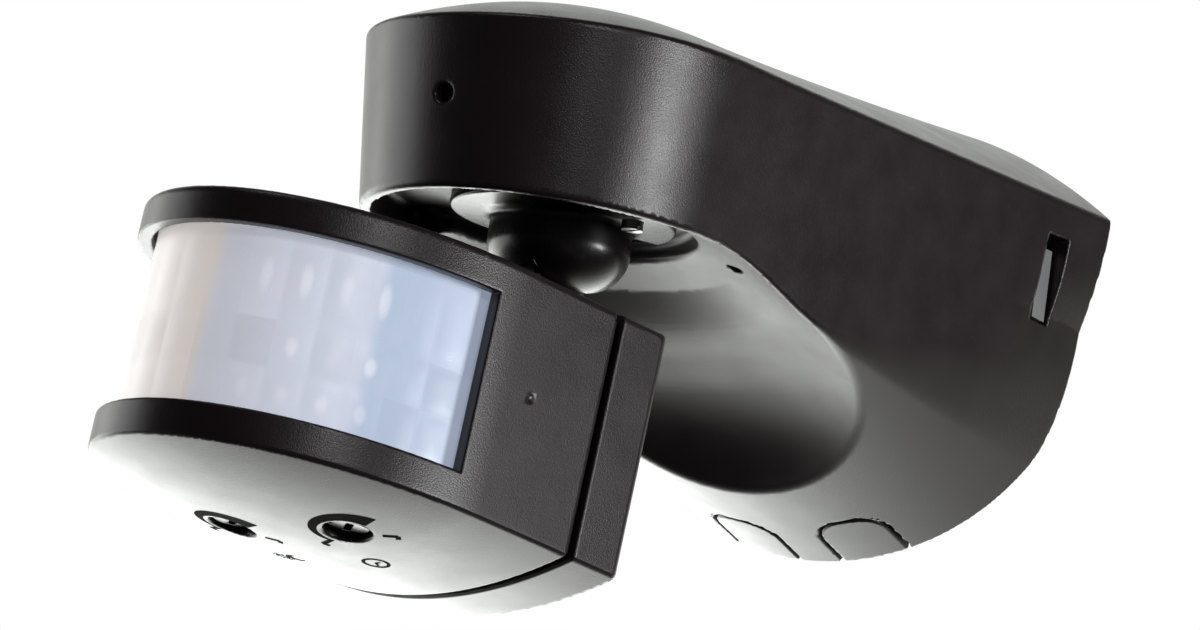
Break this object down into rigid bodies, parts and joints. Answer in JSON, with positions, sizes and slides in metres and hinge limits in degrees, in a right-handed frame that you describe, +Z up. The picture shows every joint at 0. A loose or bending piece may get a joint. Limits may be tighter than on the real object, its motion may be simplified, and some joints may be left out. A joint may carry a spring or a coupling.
{
  "type": "motion sensor",
  "caption": "Wall-mounted outdoor motion sensor: deep rounded housing with a swivelling, tilting head, a wrap-round Fresnel lens and turn-screw adjusters for time and light below.",
  "frame": {"origin": "on the wall plane, in the middle of the housing's width, level with its top rim", "axes": "+Z up, +Y into the wall, so the housing's nose and the sensor head point along -Y"},
  "size_m": [0.081, 0.1481, 0.0915],
  "materials": {
    "housing_brown": "fine-textured dark brown ABS, satin",
    "neck_dark": "smooth black-brown nylon, half gloss",
    "lens_milky": "thin milky polyethylene with moulded facets",
    "adjuster_black": "smooth black",
    "inner_grey": "moulded grey",
    "rubber_black": "soft matte",
    "board_green": "solder-masked board",
    "part_black": "moulded",
    "varistor_blue": "dipped",
    "led_red": "clear red resin",
    "screw_steel": "zinc-plated",
    "brass": "turned"
  },
  "bodies": {
    "housing": {"housing_cover": "housing_brown", "knockout_left": "housing_brown", "knockout_right": "housing_brown", "wall_plate": "inner_grey", "cable_grommet": "rubber_black", "plate_seal": "rubber_black", "power_board": "board_green", "terminal_block": "inner_grey", "relay": "part_black", "capacitor": "part_black", "varistor": "varistor_blue", "fuse": "screw_steel", "inner_frame": "inner_grey", "locking_screw": "screw_steel", "terminal_screw_1": "brass", "terminal_screw_2": "brass", "terminal_screw_3": "brass", "board_screw_1": "screw_steel", "board_screw_2": "screw_steel", "board_screw_3": "screw_steel", "board_screw_4": "screw_steel"},
    "neck": {"swivel_neck": "neck_dark", "swivel_washer": "screw_steel", "swivel_nut": "brass", "pivot_pin": "screw_steel", "clamp_screw": "screw_steel"},
    "head": {"head_front": "housing_brown", "head_back_cover": "housing_brown", "fresnel_lens": "lens_milky", "head_seal": "rubber_black", "sensor_board": "board_green", "pyro_sensor_left": "screw_steel", "pyro_sensor_right": "screw_steel", "status_led": "led_red", "adjuster_board": "board_green", "time_trimmer": "inner_grey", "light_trimmer": "inner_grey", "back_screw_left": "screw_steel", "back_screw_right": "screw_steel"},
    "time_dial": {"time_adjuster": "adjuster_black"},
    "light_dial": {"light_adjuster": "adjuster_black"}
  },
  "joints": [
    {"name": "pan", "type": "hinge", "parent": "housing", "child": "neck", "pos_m": [0, -0.0809, -0.02], "axis": [0, 0, 1], "range_deg": [-70, 100]},
    {"name": "tilt", "type": "hinge", "parent": "neck", "child": "head", "pos_m": [0, -0.0809, -0.025], "axis": [0.9659, -0.2588, 0], "range_deg": [-7, 40]},
    {"name": "time_turn", "type": "hinge", "parent": "head", "child": "time_dial", "pos_m": [0.00032, -0.12107, -0.07144], "axis": [0.0253, 0.0943, 0.9952], "range_deg": [-135, 135]},
    {"name": "light_turn", "type": "hinge", "parent": "head", "child": "light_dial", "pos_m": [-0.01828, -0.12052, -0.07102], "axis": [0.0253, 0.0943, 0.9952], "range_deg": [-135, 135]}
  ]
}
